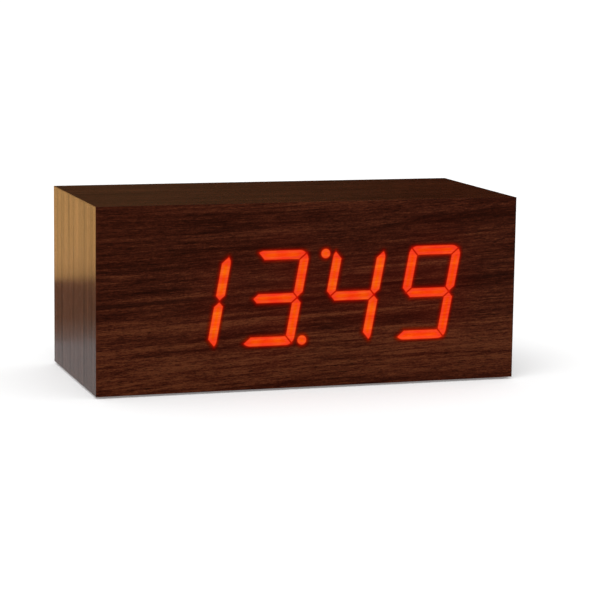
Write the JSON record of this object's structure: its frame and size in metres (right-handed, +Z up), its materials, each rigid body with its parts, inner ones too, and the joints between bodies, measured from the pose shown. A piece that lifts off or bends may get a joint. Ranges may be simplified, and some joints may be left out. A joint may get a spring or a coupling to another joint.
{
  "type": "digital alarm clock",
  "caption": "Wooden block digital alarm clock: slanted red segment figures glow through the dark veneer face; buttons, power inlet and battery box at the back.",
  "frame": {"origin": "on the surface that the foot pads stand on, under the middle of the case", "axes": "+X along the width, to the right as seen from the front; the face looks along -Y; +Z up"},
  "size_m": [0.207, 0.094, 0.089],
  "materials": {
    "fibreboard": "raw medium-density fibreboard, dull",
    "walnut_veneer": "dark reddish-brown walnut veneer, satin lacquer",
    "lit_veneer": "veneer with red-orange light shining through it",
    "pine": "planed softwood, dull",
    "case_screw": "blackened steel",
    "rubber_pad": "matt black rubber foam",
    "black_plastic": "fine-textured black moulding",
    "segment_resin": "milky red-tinted resin",
    "circuit_board": "green solder mask over glass fibre",
    "light_chip": "light-emitting chips",
    "plated_metal": "nickel-plated steel",
    "chip_plastic": "black epoxy package",
    "ribbon_plastic": "grey ribbon insulation",
    "button_plastic": "dark grey button moulding",
    "switch_body": "switch housing",
    "knob_plastic": "off-white slider",
    "brass_pin": "bright brass",
    "cell_jacket": "plain printed foil jacket",
    "lead_plastic": "soft insulation"
  },
  "bodies": {
    "case": {"front_board": "fibreboard", "top_board": "fibreboard", "bottom_board": "fibreboard", "left_board": "fibreboard", "right_board": "fibreboard", "back_board": "fibreboard", "veneer_front": "walnut_veneer", "lit_veneer": "lit_veneer", "veneer_top": "walnut_veneer", "veneer_bottom": "walnut_veneer", "veneer_left": "walnut_veneer", "veneer_right": "walnut_veneer", "veneer_back": "walnut_veneer", "back_edge_bands": "walnut_veneer", "corner_blocks": "pine", "back_screws": "case_screw", "foot_pads": "rubber_pad", "digit_housing_1": "black_plastic", "digit_housing_2": "black_plastic", "digit_housing_3": "black_plastic", "digit_housing_4": "black_plastic", "digit_segments_1": "segment_resin", "digit_segments_2": "segment_resin", "digit_segments_3": "segment_resin", "digit_segments_4": "segment_resin", "digit_boards": "circuit_board", "light_chips": "light_chip", "digit_pins": "plated_metal", "display_board": "circuit_board", "display_driver": "chip_plastic", "display_spacers": "plated_metal", "board_screws": "plated_metal", "ribbon_cable": "ribbon_plastic", "ribbon_sockets": "black_plastic", "control_panel": "black_plastic", "control_board": "circuit_board", "button_switches": "switch_body", "slide_switch": "plated_metal", "power_inlet": "black_plastic", "inlet_pin": "brass_pin", "buzzer": "black_plastic", "microphone": "plated_metal", "microcontroller": "chip_plastic", "crystal": "plated_metal", "coin_cell": "plated_metal", "coin_cell_holder": "black_plastic", "battery_tray": "black_plastic", "battery_cell_1": "cell_jacket", "battery_cell_2": "cell_jacket", "battery_cell_3": "cell_jacket", "battery_cell_4": "cell_jacket", "contact_springs": "plated_metal", "contact_plates": "plated_metal", "battery_leads": "lead_plastic", "flange_screws": "case_screw"},
    "set_button": {"set_button": "button_plastic"},
    "up_button": {"up_button": "button_plastic"},
    "down_button": {"down_button": "button_plastic"},
    "switch_knob": {"switch_knob": "knob_plastic"},
    "battery_door": {"battery_door": "black_plastic"}
  },
  "joints": [
    {"name": "set_button_press", "type": "slide", "parent": "case", "child": "set_button", "axis": [0, -1, 0], "range_m": [0, 0.0006], "stiffness_N_per_m": 800, "springref_m": -0.001},
    {"name": "up_button_press", "type": "slide", "parent": "case", "child": "up_button", "axis": [0, -1, 0], "range_m": [0, 0.0006], "stiffness_N_per_m": 800, "springref_m": -0.001},
    {"name": "down_button_press", "type": "slide", "parent": "case", "child": "down_button", "axis": [0, -1, 0], "range_m": [0, 0.0006], "stiffness_N_per_m": 800, "springref_m": -0.001},
    {"name": "switch_slide", "type": "slide", "parent": "case", "child": "switch_knob", "axis": [1, 0, 0], "range_m": [0, 0.002]},
    {"name": "battery_door_hinge", "type": "hinge", "parent": "case", "child": "battery_door", "pos_m": [-0.048, 0.0449, 0.0219], "axis": [-1, 0, 0], "range_deg": [0, 80]}
  ]
}
